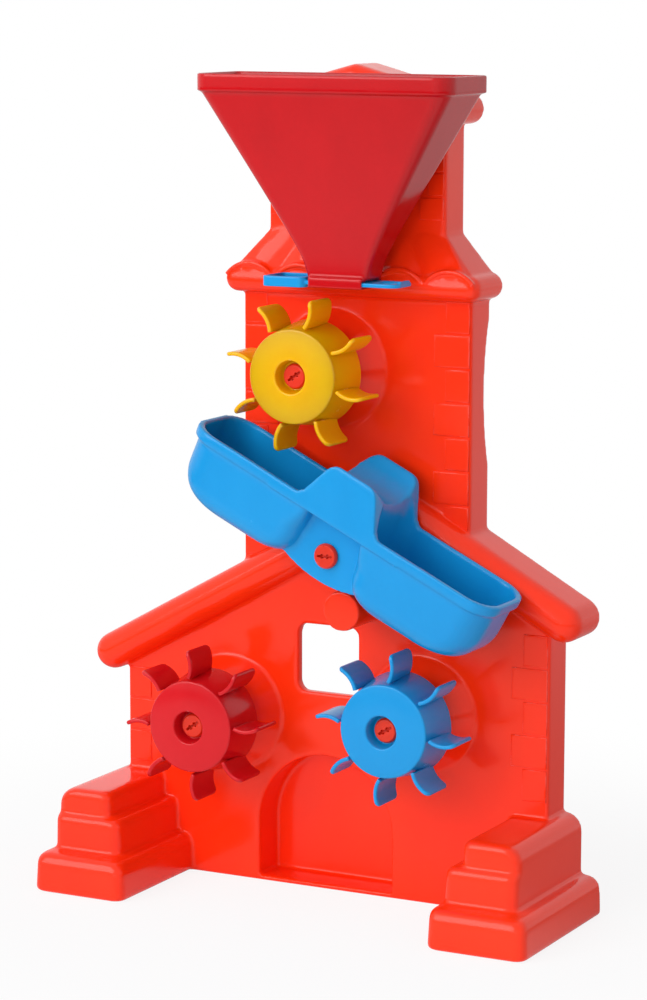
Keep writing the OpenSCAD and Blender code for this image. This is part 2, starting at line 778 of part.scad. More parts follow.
module funnel() {
    color(crimson) stand() difference() {
        union() {
            loft(concat(funnel_stack(0), [rim_ring(rim_bottom + tier_rise, 0), rim_ring(rim_top, 0)]));
            translate([sleeve_left, sleeve_floor, neck_mid - sleeve_half_w])
                cube([sleeve_l, neck_floor + tier_rise - sleeve_floor, 2 * sleeve_half_w]);
            at_lugs() funnel_lug();
        }
        loft(concat(
            [funnel_ring(neck_floor, funnel_wall) - lift(sleeve_wall + over)],
            funnel_stack(funnel_wall),
            [rim_ring(rim_bottom + tier_rise + funnel_wall, funnel_wall),
             rim_ring(rim_top + over, funnel_wall)]));
        translate([sleeve_left - over, gate_floor - gate_clear, neck_mid - gate_w / 2 - gate_clear])
            cube([sleeve_l + 2 * over, gate_t + 2 * gate_clear, gate_w + 2 * gate_clear]);
        translate([funnel_x - neck_w / 2 + 2 * funnel_wall, sleeve_floor - over, neck_back + funnel_wall])
            cube([neck_w - 4 * funnel_wall, sleeve_wall + 2 * over,
                  neck_front - neck_back - 2 * funnel_wall]);
    }
}
function lift(d) = [for (i = [0 : 4 * (corner_steps + 1) - 1]) [0, d, 0]];

// Shutter in the sleeve, shown shut, with the finger cup on its left
module slide_gate() {
    low = gate_floor - (cup_h - gate_t) / 2;
    corner = 2 * cup_wall;
    color(sky) stand() difference() {
        union() {
            translate([(cup_right - cup_wall + gate_end) / 2, gate_floor, neck_mid]) rotate([-90, 0, 0])
                linear_extrude(height = gate_t)
                    round_rect(gate_end - cup_right + cup_wall, gate_w, gate_corner);
            translate([cup_right - cup_l / 2, low, neck_mid]) rotate([-90, 0, 0])
                linear_extrude(height = cup_h) round_rect(cup_l, cup_w, corner);
            translate([gate_end - gate_bar, gate_floor, neck_mid - gate_w / 2 + gate_corner])
                cube([gate_bar, gate_t + gate_bar / 2, gate_w - 2 * gate_corner]);
        }
        translate([cup_right - cup_l / 2, low + cup_wall, neck_mid]) rotate([-90, 0, 0])
            linear_extrude(height = cup_h)
                round_rect(cup_l - 2 * cup_wall, cup_w - 2 * cup_wall, corner - cup_wall);
        translate([gate_end - gate_bar - (gate_window + gate_bar) / 2, gate_floor - over, neck_mid])
            rotate([-90, 0, 0]) linear_extrude(height = gate_t + 2 * over)
                round_rect(gate_window - gate_bar, gate_w - 4 * cup_wall, gate_bar / 2);
    }
}

// One blade section: an arc whose chord points away from the axle
module blade_section() {
    intersection() {
        translate([blade_mid_r, blade_sink]) difference() {
            circle(r = blade_curve_r + blade_t / 2, $fn = round_fn);
            circle(r = blade_curve_r - blade_t / 2, $fn = round_fn);
        }
        translate([blade_root_r, -blade_curve_r])
            square([blade_tip_r - blade_root_r, blade_curve_r + blade_t]);
    }
}

// Paddle wheel on its axis, front towards +z
module paddle_wheel(phase) {
    floor_z = drum_front - well_depth;
    rotate_extrude($fn = round_fn) difference() {
        union() {
            translate([0, hub_back]) square([hub_r, floor_z - hub_back]);
            translate([0, drum_back]) square([drum_r, drum_depth - drum_round]);
            translate([0, drum_back]) square([drum_r - drum_round, drum_depth]);
            translate([drum_r - drum_round, drum_front - drum_round]) circle(r = drum_round, $fn = round_fn);
        }
        translate([hub_r, drum_back - over])
            square([drum_r - wheel_wall - hub_r, drum_depth - well_depth - wheel_wall + over]);
        translate([well_r + wheel_wall, drum_back])
            square([drum_r - 2 * wheel_wall - well_r, drum_depth - wheel_wall]);
        translate([0, floor_z]) square([well_r, well_depth + over]);
        difference() {
            translate([0, drum_front - well_lip]) square([well_r + well_lip, well_lip + over]);
            translate([well_r + well_lip, drum_front - well_lip]) circle(r = well_lip, $fn = round_fn);
        }
        translate([0, hub_back - over]) square([pin_r + pin_clear, drum_front - hub_back + over]);
    }
    for (i = [0 : blade_count - 1]) rotate([0, 0, phase + i * 360 / blade_count])
        translate([0, 0, drum_back + blade_t / 2])
            linear_extrude(height = drum_depth - drum_round - blade_t) blade_section();
}

module upper_wheel() {
    color(yellow) stand() translate([upper_wheel_x, upper_wheel_z, 0]) paddle_wheel(upper_phase);
}

module left_wheel() {
    color(crimson) stand() translate([left_wheel_x, left_wheel_z, 0]) paddle_wheel(left_phase);
}

module right_wheel() {
    color(sky) stand() translate([right_wheel_x, right_wheel_z, 0]) paddle_wheel(right_phase);
}

// Push-in pin: slotted head at the front, split snap end behind the boss face
module push_pin(head_back, boss_back) {
    difference() {
        rotate_extrude($fn = round_fn) polygon([
            [0, boss_back - snap_l], [pin_r - snap_barb, boss_back - snap_l],
            [pin_r + snap_barb, boss_back - 2 * snap_barb], [pin_r + snap_barb, boss_back - wheel_clear()],
            [pin_r, boss_back - wheel_clear()], [pin_r, head_back], [pin_head_d / 2, head_back],
            [pin_head_d / 2, head_back + pin_head_t / 2], [pin_head_d / 2 - snap_barb, head_back + pin_head_t],
            [0, head_back + pin_head_t]]);
        translate([-snap_slit / 2, -pin_d, boss_back - snap_l - over])
            cube([snap_slit, 2 * pin_d, snap_l + over]);
        translate([-pin_r, -slot_w / 2, head_back + pin_head_t - slot_depth])
            cube([pin_d, slot_w, slot_depth + over]);
        for (x = [-pin_r / 2, pin_r / 4])
            translate([x, -slot_w, head_back + pin_head_t - slot_depth])
                cube([slot_w, 2 * slot_w, slot_depth + over]);
    }
}

module wheel_pin(turn) {
    rotate([0, 0, turn]) push_pin(drum_front - well_depth + wheel_clear(), boss_h - wall * 1.5);
}

module upper_axle_pin() {
    color(orange) stand() translate([upper_wheel_x, upper_wheel_z, 0]) wheel_pin(35);
}

module left_axle_pin() {
    color(orange) stand() translate([left_wheel_x, left_wheel_z, 0]) wheel_pin(35);
}

module right_axle_pin() {
    color(orange) stand() translate([right_wheel_x, right_wheel_z, 0]) wheel_pin(30);
}

// Height of the tipper's front and back edge along its length
function hump_share(x) =
    let (a = divider_half * shoulder_in_share, b = divider_half * shoulder_out_share, s = abs(x))
    s <= a ? 1 : s >= b ? 0 : (1 + cos(180 * (s - a) / (b - a))) / 2;

// Centre outline of the tipper above the rim band, out to a half length
module hump_outline(half, floor_h) {
    steps = 44;
    polygon(concat([[half, floor_h], [-half, floor_h]],
                   [for (i = [-steps : steps]) let (x = half * i / steps) [x, rim_h + hump_h * hump_share(x)]]));
}

// Keel outline below the rim band, with an arched lower edge
module keel_outline(half) {
    intersection() {
        translate([-half, -2 * keel_h]) square([2 * half, band_floor + 2 * keel_h]);
        translate([0, keel_r - keel_h]) circle(r = keel_r, $fn = 2 * round_fn);
    }
}

// Ring of a trough at a height over its floor
function trough_ring(s, in, out, h) =
    let (draft = trough_draft * (1 - s / trough_depth),
         side = round_in(trough_side_r - in, s) + draft + in - out,
         room = corner_fill_share * (tipper_w / 2 - band_out - side),
         outer_r = min(trough_corner_r - in / 2, room),
         root_r = in > 0 || h < band_floor ? trough_root_r : trough_root_r * root_top_share,
         inner_r = min(root_r - in / 2, room))
    ring(trough_in + in + round_in(trough_inner_r - in, s) + trough_lean_share * (rim_h + hump_h - h),
         tipper_half - band_out - round_in(trough_end_r - in, s) - draft - in + out,
         tipper_back + band_out + side, tipper_front - band_out - side,
         [outer_r, outer_r, inner_r, inner_r], h);

// One trough on the right: its outer skin, or its hollow when drawn in by the wall
module trough(in) {
    levels = 10;
    top = rim_h + hump_h + over;
    floor_h = trough_floor + in;
    straight = band_floor - floor_h + in / 2;
    bowl = [for (k = [0 : levels]) let (s = (trough_end_r - in) * (1 - cos(90 * k / levels)))
        trough_ring(s, in, 0, floor_h + s)];
    flare = band_out * inner_flare_share;
    loft(in > 0
        ? concat(bowl, [trough_ring(trough_depth, in, flare, rim_h), trough_ring(trough_depth, in, flare, top)])
        : concat(bowl, [trough_ring(straight, in, 0, floor_h + straight),
                        trough_ring(straight, in, band_out, floor_h + straight + tier_rise),
                        trough_ring(trough_depth, in, band_out, rim_h)]));
}

module tipper_body() {
    plate_half = divider_half * shoulder_out_share + trough_corner_r;
    difference() {
        union() {
            trough(0);
            mirror([1, 0, 0]) trough(0);
            translate([0, 0, tipper_back]) linear_extrude(height = tipper_w)
                hump_outline(plate_half, band_floor);
            for (z = [tipper_back + keel_inset, tipper_front - keel_inset - tipper_wall])
                translate([0, 0, z]) linear_extrude(height = tipper_wall)
                    keel_outline(divider_half + trough_inner_r);
        }
        trough(tipper_wall);
        mirror([1, 0, 0]) trough(tipper_wall);
        translate([-plate_half, rim_h + hump_h - saddle_dip + saddle_r, tipper_back + tipper_w / 2])
            rotate([0, 90, 0]) cylinder(h = 2 * plate_half, r = saddle_r, $fn = 2 * round_fn);
        translate([-trough_in, band_floor + tipper_wall, tipper_back + tipper_wall])
            cube([2 * trough_in, rim_h + hump_h - saddle_dip - 2 * tipper_wall - band_floor,
                  tipper_w - 2 * tipper_wall]);
        translate([-trough_in, band_floor - over, tipper_back + keel_inset + tipper_wall])
            cube([2 * trough_in, tipper_wall + 2 * over, tipper_w - 2 * keel_inset - 2 * tipper_wall]);
    }
}

module tipper() {
    color(sky) stand() at_pivot() rotate([0, 0, -tipper_tilt]) difference() {
        union() {
            tipper_body();
            translate([0, 0, tipper_boss_h + 2 * wheel_clear()])
                cylinder(h = tipper_front - keel_inset - tipper_boss_h - 2 * wheel_clear(), r = hub_tube_r,
                         $fn = round_fn);
        }
        cylinder(h = tipper_front + over, r = pin_r + pin_clear, $fn = round_fn);
    }
}

module tipper_pin() {
    color(orange) stand() at_pivot()
        push_pin(tipper_front - keel_inset + wheel_clear(), tipper_boss_h - wall);
}

tower_shell();
funnel();
slide_gate();
upper_wheel();
left_wheel();
right_wheel();
tipper();
upper_axle_pin();
left_axle_pin();
right_axle_pin();
tipper_pin();
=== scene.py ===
# %% [markdown]
# A sand wheel toy: a moulded house front with a hopper, a sliding gate, three paddle wheels and a
# rocking tipper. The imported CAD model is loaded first, as a fixed frame in metres, and every piece of
# this lesson is made around it: the solids give the places and the main forms, and Blender adds what a
# mould and years of play give them, such as soft edges, bricks, blades, gloss and small scuffs.

# %% Load the frame
import math

import bmesh
import bpy
from mathutils import Matrix, Vector


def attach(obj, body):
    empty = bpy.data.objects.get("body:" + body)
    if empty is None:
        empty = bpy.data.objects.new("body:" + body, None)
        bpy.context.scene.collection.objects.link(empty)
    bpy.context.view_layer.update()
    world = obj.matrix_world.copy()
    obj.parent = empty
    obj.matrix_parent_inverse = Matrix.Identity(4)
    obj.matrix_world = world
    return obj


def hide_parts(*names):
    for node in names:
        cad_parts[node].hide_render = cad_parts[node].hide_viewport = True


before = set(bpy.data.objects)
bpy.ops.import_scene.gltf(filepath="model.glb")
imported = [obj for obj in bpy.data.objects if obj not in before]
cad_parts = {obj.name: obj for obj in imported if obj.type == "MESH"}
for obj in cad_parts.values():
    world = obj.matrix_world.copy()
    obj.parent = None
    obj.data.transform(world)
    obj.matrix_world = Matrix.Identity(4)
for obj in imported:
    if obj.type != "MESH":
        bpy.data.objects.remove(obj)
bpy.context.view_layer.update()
MM = 0.001
# The middle of the toy, in the wall's own drawing: x to the right, height, and distance out of the wall
MID_X, MID_OUT = 1.375, 25.5


def at(x, height, out):
    """A point of the wall drawing, in millimetres, as a place in the frame."""
    return Vector(((x - MID_X) * MM, (MID_OUT - out) * MM, height * MM))


# %% [markdown]
# The photograph was taken with a long lens, a little above the middle of the toy and to its right.
# The camera's place was found by matching the corners of the solids with the picture, so it is written
# as a direction, a place and a focal length. The sensor width belongs to the long side of the picture.

# %% Camera
scene = bpy.context.scene
scene.view_settings.view_transform = "Standard"
AZIMUTH, ELEVATION, ROLL = (math.radians(a) for a in (27.46, 8.996, 0.1306))
eye = Vector((0.74508, -1.4206, 0.4591))
back = Vector((math.sin(AZIMUTH) * math.cos(ELEVATION), -math.cos(AZIMUTH) * math.cos(ELEVATION),
               math.sin(ELEVATION)))
right = Vector((0, 0, 1)).cross(back).normalized()
up = back.cross(right)
right, up = (right * math.cos(ROLL) + up * math.sin(ROLL), up * math.cos(ROLL) - right * math.sin(ROLL))
lens = bpy.data.cameras.new("camera")
lens.lens, lens.sensor_width = 118.44, 36
lens.clip_start, lens.clip_end = 0.05, 20
camera = bpy.data.objects.new("camera", lens)
camera.matrix_world = Matrix((right, up, back)).transposed().to_4x4()
camera.matrix_world.translation = eye
scene.collection.objects.link(camera)
scene.camera = camera
print("camera at", tuple(round(v, 3) for v in eye))

# %% [markdown]
# Shader maths reads best as arithmetic. A small class wraps one socket, and its operators add the Math
# nodes, so `1 - mask` works as it is written. Every other node comes from one method, which takes the
# node's type, its settings and the values or links of its sockets.

# %% Shader arithmetic


class Wire:
    """One output socket of a node tree."""

    def __init__(self, tree, socket):
        self.tree, self.socket = tree, socket

    @classmethod
    def node(cls, tree, kind, settings=None, sockets=None, out=0):
        made = tree.nodes.new(kind)
        for key, value in (settings or {}).items():
            if key == "stops":
                for stop, (place, colour) in zip(made.color_ramp.elements, value):
                    stop.position, stop.color = place, colour
            else:
                setattr(made, key, value)
        for key, value in (sockets or {}).items():
            cls.plug(tree, made.inputs[key], value)
        return cls(tree, made.outputs[out]) if len(made.outputs) else made

    @staticmethod
    def plug(tree, socket, value):
        if isinstance(value, Wire):
            tree.links.new(value.socket, socket)
        else:
            socket.default_value = value

    def maths(self, operation, a, b):
        return Wire.node(self.tree, "ShaderNodeMath", {"operation": operation}, {0: a, 1: b})

    def __add__(self, other):
        return self.maths("ADD", self, other)

    def __radd__(self, other):
        return self.maths("ADD", other, self)

    def __sub__(self, other):
        return self.maths("SUBTRACT", self, other)

    def __rsub__(self, other):
        return self.maths("SUBTRACT", other, self)

    def __mul__(self, other):
        return self.maths("MULTIPLY", self, other)

    def __rmul__(self, other):
        return self.maths("MULTIPLY", other, self)

    def __truediv__(self, other):
        return self.maths("DIVIDE", self, other)

    def band(self, low, high):
        """0 below low, 1 above high, and smooth between."""
        return Wire.node(self.tree, "ShaderNodeMapRange", {"interpolation_type": "SMOOTHSTEP"},
                         {"Value": self, "From Min": low, "From Max": high})

    def blend(self, a, b):
        """Colour a where this is 0, colour b where it is 1."""
        return Wire.node(self.tree, "ShaderNodeMix", {"data_type": "RGBA"}, {0: self, 6: a, 7: b}, 2)


def linear(red, green, blue, gain=1.0):
    """A colour as it is seen on a screen, 0 to 255, as the linear light that shaders use."""
    spread = [v / 255 for v in (red, green, blue)]
    light = [v / 12.92 if v <= 0.04045 else ((v + 0.055) / 1.055) ** 2.4 for v in spread]
    return tuple(min(v * gain, 1.0) for v in light) + (1.0,)


# %% [markdown]
# All of the toy is one family of plastic, coloured in the mass and moulded against polished steel. Such
# a surface isn't one flat colour: the pigment drifts a little, wide sink marks bend the reflections, a
# fine orange peel softens them, hands leave duller patches, and edges go paler where they were knocked.
# One recipe makes them all, from noise at each of those scales in object coordinates.

# %% Moulded plastic
# Noise scales, in waves per metre: pigment drift, hand smudges, sink marks, scuffs, specks and orange peel
DRIFT, SMUDGE, SINK, SCUFF, SPECK, PEEL = 11.0, 34.0, 16.0, 160.0, 420.0, 520.0
# The melt flows upwards in the mould, so its streaks are long in height
FLOW_STRETCH = (60, 60, 9)
# How far the sink marks and the peel stand out, in metres
SINK_DEPTH, PEEL_DEPTH = 0.0006, 0.0003


def moulded(name, colour, deep, roughness, wave=0.5, peel=0.05, wear=0.2, glow=0.06, soak=0.003):
    """Glossy plastic coloured in the mass: a colour, its deeper drift, and how rough and wavy it is."""
    material = bpy.data.materials.new(name)
    material.use_nodes = True
    tree = material.node_tree
    shader = tree.nodes["Principled BSDF"]
    place = Wire.node(tree, "ShaderNodeTexCoord", out="Object")

    def noise(scale, detail=2.0, where=place):
        return Wire.node(tree, "ShaderNodeTexNoise", None,
                         {"Vector": where, "Scale": scale, "Detail": detail, "Roughness": 0.55})

    drift = noise(DRIFT, 4.0)
    speck = noise(SPECK, 3.0)
    smudge = noise(SMUDGE, 5.0).band(0.48, 0.72)
    stretched = Wire.node(tree, "ShaderNodeMapping", None, {"Vector": place, "Scale": FLOW_STRETCH})
    flow = noise(1.0, 3.0, stretched)
    edge = Wire.node(tree, "ShaderNodeNewGeometry", out="Pointiness").band(0.53, 0.62)
    scuff = edge * noise(SCUFF, 4.0).band(0.4, 0.65)
    pale = tuple(min(1.0, 0.75 * c + 0.25) for c in colour[:3]) + (1.0,)
    body = ((drift + 0.35 * flow + 0.2 * speck) * 0.65).band(0.25, 0.75).blend(deep, colour)
    Wire.plug(tree, shader.inputs["Base Color"], (scuff * wear).blend(body, pale))
    rough = roughness + 0.05 * drift + 0.07 * smudge + 0.12 * scuff + 0.03 * speck
    Wire.plug(tree, shader.inputs["Roughness"], rough)
    sink = Wire.node(tree, "ShaderNodeBump", None,
                     {"Strength": wave, "Distance": SINK_DEPTH, "Height": noise(SINK, 1.0)})
    skin = Wire.node(tree, "ShaderNodeBump", None,
                     {"Strength": peel, "Distance": PEEL_DEPTH, "Height": noise(PEEL, 2.0), "Normal": sink})
    Wire.plug(tree, shader.inputs["Normal"], skin)
    shader.inputs["IOR"].default_value = 1.5
    shader.inputs["Specular IOR Level"].default_value = 0.32
    shader.inputs["Subsurface Weight"].default_value = glow
    shader.inputs["Subsurface Radius"].default_value = (1.0, 0.5, 0.3)
    shader.inputs["Subsurface Scale"].default_value = soak
    print("material", name)
    return material


orange = moulded("orange_shell_plastic", linear(255, 54, 15), linear(251, 46, 11), 0.11, wave=0.45)
crimson = moulded("crimson_plastic", linear(209, 19, 29), linear(196, 13, 24), 0.12, wave=0.35)
# The funnel takes a darker copy of the wheel's crimson: painted shade that stands in for the shade on the
# funnel, not a different plastic
shaded_funnel_crimson = moulded("crimson_funnel_plastic", linear(196, 9, 19), linear(178, 5, 14), 0.11, wave=0.35,
                       glow=0.12)
yellow = moulded("yellow_wheel_plastic", linear(234, 178, 0), linear(228, 162, 0), 0.17, wave=0.25,
                 glow=0.4, soak=0.006)
blue = moulded("blue_plastic", linear(20, 149, 214), linear(13, 139, 204), 0.17, wave=0.3)
pin_red = moulded("pin_plastic", linear(224, 52, 28), linear(205, 42, 20), 0.24, wave=0.2)

# %% [markdown]
# Moulded plastic has no sharp edge anywhere: the steel of the mould is rounded, and inner corners are
# filled. Bevelling every edge of a shell with arches, bosses and slanted boards would need much care, so
# a copy of the solid is remeshed into small even cells and relaxed a little. All edges and inner corners
# come out softly rounded at once, and flat walls stay flat. The copy is merged first, because a packed
# solid is loose triangles, and thinned last, so that the mesh stays light.

# %% Soft copies of the solids


def soft_copy(node, name, cell, passes, triangles, material, body, shape=None):
    """A copy of a CAD node with its edges softened, in place of the node."""
    mesh = bpy.data.meshes.new(name)
    bm = bmesh.new()
    bm.from_mesh(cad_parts[node].data)
    bmesh.ops.remove_doubles(bm, verts=bm.verts, dist=1e-6)
    if shape:
        shape(bm)
    bm.to_mesh(mesh)
    bm.free()
    source = bpy.data.objects.new(name, mesh)
    scene.collection.objects.link(source)
    cells = source.modifiers.new("cells", "REMESH")
    cells.mode, cells.voxel_size, cells.use_smooth_shade = "VOXEL", cell, True
    relax = source.modifiers.new("relax", "SMOOTH")
    relax.factor, relax.iterations = 0.5, passes
    count = 2 * len(source.evaluated_get(bpy.context.evaluated_depsgraph_get()).data.polygons)
    if count > triangles:
        thin = source.modifiers.new("thin", "DECIMATE")
        thin.ratio = triangles / count
    made = bpy.data.meshes.new_from_object(source.evaluated_get(bpy.context.evaluated_depsgraph_get()))
    source.modifiers.clear()
    source.data = made
    bpy.data.meshes.remove(mesh)
    made.name = name
    made.materials.clear()
    made.materials.append(material)
    made.shade_smooth()
    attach(source, body)
    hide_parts(node)
    print(name, "has", len(made.polygons), "faces from", count)
    return source


# %% [markdown]
# Two details want a change of shape around the remesh. The corner bricks are too fine for it, so they are
# pressed back into the wall here and made again below. The slot of a pin is narrow, so its floor is sunk
# first, or it would close up and lose its dark line.

# %% Bricks and pin slots before the remesh
RELIEF, BRICK_INSET, BRICK_SINK, BRICK_SHARE = 0.8, 0.8, 0.15, 0.9
SLOT_DEPTH, SLOT_SINK, SLOT_REACH = 1.1, 1.5, 0.05


def is_brick(face):
    """Whether a face of the shell is the front of a corner brick."""
    out = MID_OUT - face.calc_center_median().y / MM
    return face.normal.y < -0.99 and abs(out - RELIEF) < 0.02


def without_bricks(bm):
    """Presses the corner bricks back into the wall."""
    bm.normal_update()
    fronts = {v for face in bm.faces if is_brick(face) for v in face.verts}
    for v in fronts:
        v.co.y = MID_OUT * MM


def deeper_slot(bm):
    """Sinks the floor of a pin's slot, so that it reads as a dark cut."""
    face = min(v.co.y for v in bm.verts)
    for v in bm.verts:
        if abs(v.co.y - face - SLOT_DEPTH * MM) < SLOT_REACH * MM:
            v.co.y += SLOT_SINK * MM


# %% The soft pieces
soft_copy("tower_shell", "soft_tower_shell", 0.0009, 8, 190000, orange, "house", without_bricks)
soft_copy("funnel", "soft_funnel", 0.0007, 5, 150000, shaded_funnel_crimson, "house")
tipper = soft_copy("tipper", "soft_tipper", 0.0007, 12, 190000, blue, "tipper_body")
soft_copy("slide_gate", "soft_slide_gate", 0.0004, 4, 60000, blue, "gate_body")
for pin in ("upper_axle_pin", "left_axle_pin", "right_axle_pin", "tipper_pin"):
    soft_copy(pin, f"soft_{pin}", 0.0002, 1, 40000, pin_red, "house", deeper_slot)

# %% [markdown]
# The hump of the tipper has wide round shoulders, much rounder than the edges of the plastic. A bevel can't
# reach them, because the saddle cuts through the hump. So the points of the soft copy are turned level with
# the trough, those above the wanted outline are pressed down on to it, and the hump is relaxed once more.

# %% Round shoulders of the tipper's hump
PIVOT_X, PIVOT_Z, TILT = 22.5, 182.6, math.radians(26.25)
HUMP_H, HUMP_REACH, HUMP_FLAT = 20.0, 30.0, 7.5
HUMP_ROUND, HUMP_FALL, HUMP_PASSES = 8.0, math.radians(66), 10


def hump_drop(along):
    """How far the hump has fallen at a distance from its middle: flat, round, then steep."""
    past = abs(along) - HUMP_FLAT
    bend = HUMP_ROUND * math.sin(HUMP_FALL)
    if past <= 0:
        return 0.0
    if past <= bend:
        return HUMP_ROUND - math.sqrt(HUMP_ROUND ** 2 - past ** 2)
    return HUMP_ROUND * (1 - math.cos(HUMP_FALL)) + (past - bend) * math.tan(HUMP_FALL)


def round_hump(piece):
    """Presses the hump under its outline, in the tipper's own tilted drawing."""
    level = Matrix.Rotation(-TILT, 4, "Y") @ Matrix.Translation(-at(PIVOT_X, PIVOT_Z, 0))
    bm = bmesh.new()
    bm.from_mesh(piece.data)
    bmesh.ops.transform(bm, matrix=level, verts=bm.verts)
    top = max(v.co.z for v in bm.verts)
    hump = [v for v in bm.verts if v.co.z > top - HUMP_H * MM and abs(v.co.x) < HUMP_REACH * MM]
    for v in hump:
        v.co.z = min(v.co.z, top - hump_drop(v.co.x / MM) * MM)
    for _ in range(HUMP_PASSES):
        bmesh.ops.smooth_vert(bm, verts=hump, factor=0.5, use_axis_x=True, use_axis_y=True, use_axis_z=True)
    bmesh.ops.transform(bm, matrix=level.inverted(), verts=bm.verts)
    bm.to_mesh(piece.data)
    bm.free()
    print("hump rounded at", len(hump), "points")


round_hump(tipper)

# %% [markdown]
# Geometry Nodes do what repeats. Two helpers serve all of the trees below: one starts a tree with named
# inputs, and the other runs a tree on a mesh, sets those inputs by the identifiers of their sockets, and
# keeps the result as a plain mesh, because an export drops instances and live modifiers.

# %% Geometry Nodes helpers


def node_tree(name, **inputs):
    """A new Geometry Nodes tree, and its inputs as wires. The first input is the mesh that it works on."""
    tree = bpy.data.node_groups.new(name, "GeometryNodeTree")
    tree.interface.new_socket("Mesh", in_out="INPUT", socket_type="NodeSocketGeometry")
    for label, kind in inputs.items():
        tree.interface.new_socket(label, in_out="INPUT", socket_type=f"NodeSocket{kind}")
    tree.interface.new_socket("Result", in_out="OUTPUT", socket_type="NodeSocketGeometry")
    given = tree.nodes.new("NodeGroupInput")
    return tree, [Wire(tree, socket) for socket in given.outputs[:len(inputs) + 1]]


def finish_tree(tree, geometry, plastic):
    """Ends a tree: real geometry, with its material."""
    real = Wire.node(tree, "GeometryNodeRealizeInstances", None, {0: geometry})
    dressed = Wire.node(tree, "GeometryNodeSetMaterial", None, {"Geometry": real, "Material": plastic})
    Wire.node(tree, "NodeGroupOutput", None, {0: dressed})


def grow(name, mesh, tree, **inputs):
    """Runs a tree on a mesh and keeps what it makes as a plain mesh."""
    piece = bpy.data.objects.new(name, mesh)
    scene.collection.objects.link(piece)
    nodes = piece.modifiers.new(tree.name, "NODES")
    nodes.node_group = tree
    for socket in tree.interface.items_tree:
        if socket.in_out == "INPUT" and socket.name in inputs:
            nodes[socket.identifier] = inputs[socket.name]
    made = bpy.data.meshes.new_from_object(piece.evaluated_get(bpy.context.evaluated_depsgraph_get()))
    piece.modifiers.clear()
    piece.data = made
    made.name = name
    made.shade_smooth()
    print(name, "has", len(made.polygons), "faces")
    return piece


# %% [markdown]
# The corners of the walls carry long and short bricks by turns, a moulded relief of less than a
# millimetre. The solid knows where each one is, so their front faces are picked from it and pressed back
# to the wall, and a tree raises every face again in a few steps, each a little smaller than the last.
# That gives a brick the soft shoulders that a mould has, which a coarse remesh would lose.

# %% Corner bricks


def brick_fronts():
    """The front faces of all corner bricks, one flat face each, just under the face of the wall."""
    mesh = bpy.data.meshes.new("brick_fronts")
    bm = bmesh.new()
    bm.from_mesh(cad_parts["tower_shell"].data)
    bmesh.ops.remove_doubles(bm, verts=bm.verts, dist=1e-6)
    bm.normal_update()
    rest = [face for face in bm.faces if not is_brick(face)]
    bmesh.ops.delete(bm, geom=rest, context="FACES")
    bmesh.ops.dissolve_limit(bm, angle_limit=math.radians(1), verts=bm.verts, edges=bm.edges)
    for face in bm.faces:
        middle = face.calc_center_median().x
        for v in face.verts:
            v.co.x -= math.copysign(BRICK_INSET * MM, v.co.x - middle)
    for v in bm.verts:
        v.co.y = (MID_OUT + BRICK_SINK) * MM
    bm.to_mesh(mesh)
    bm.free()
    return mesh


# Each step's share of the relief, and the size of its top against the last one
BRICK_STEPS = ((0.62, 1.0), (0.2, 0.985), (0.12, 0.97), (0.06, 0.95), (0.0, 0.9))


def pillow_tree():
    tree, (fronts, relief, plastic) = node_tree("pillow_bricks", Relief="Float", Plastic="Material")
    shape, top = fronts, True
    for rise, size in BRICK_STEPS:
        extruded = tree.nodes.new("GeometryNodeExtrudeMesh")
        Wire.plug(tree, extruded.inputs["Mesh"], shape)
        Wire.plug(tree, extruded.inputs["Selection"], top)
        Wire.plug(tree, extruded.inputs["Offset Scale"], relief * rise)
        top = Wire(tree, extruded.outputs["Top"])
        shape = Wire.node(tree, "GeometryNodeScaleElements", {"domain": "FACE"},
                          {"Geometry": Wire(tree, extruded.outputs["Mesh"]), "Selection": top, "Scale": size})
    finish_tree(tree, shape, plastic)
    return tree


bricks = grow("corner_bricks", brick_fronts(), pillow_tree(), Plastic=orange,
              Relief=(BRICK_SHARE * RELIEF + BRICK_SINK) * MM)
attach(bricks, "house")

# %% [markdown]
# A paddle wheel is a drum with eight curved blades. The drum is a lathe shape: one outline, with a radius
# at each corner, turned about the axle. One blade is drawn along an arc, with a rounded tip and rounded
# corners, and a tree sets it round the drum as often as the wheel needs, at the turn that the wheel has.

# %% Lathe outlines


def filleted(corners, steps=5):
    """The outline through some (radius, out, fillet) corners, each rounded by its fillet."""
    points = []
    for i, (r, out, fillet) in enumerate(corners):
        here = Vector((r, out))
        before = (Vector(corners[i - 1][:2]) - here).normalized()
        after = (Vector(corners[(i + 1) % len(corners)][:2]) - here).normalized()
        if not fillet:
            points.append(here)
            continue
        half = before.angle(after) / 2
        reach = fillet / math.tan(half)
        centre = here + (before + after).normalized() * fillet / math.sin(half)
        start, end = here + before * reach - centre, here + after * reach - centre
        for k in range(steps + 1):
            points.append(centre + start.slerp(end, k / steps))
    return points


def lathe(corners, sides=96):
    """A closed outline turned about the axle, as a mesh around the origin."""
    bm = bmesh.new()
    ring = [bm.verts.new((p.x * MM, -p.y * MM, 0)) for p in filleted(corners)]
    edges = [bm.edges.new((ring[i - 1], ring[i])) for i in range(len(ring))]
    bmesh.ops.spin(bm, geom=ring + edges, cent=(0, 0, 0), axis=(0, 1, 0), angle=math.tau, steps=sides,
                   use_merge=True)
    bmesh.ops.remove_doubles(bm, verts=bm.verts, dist=1e-6)
    bmesh.ops.recalc_face_normals(bm, faces=bm.faces)
    return bm


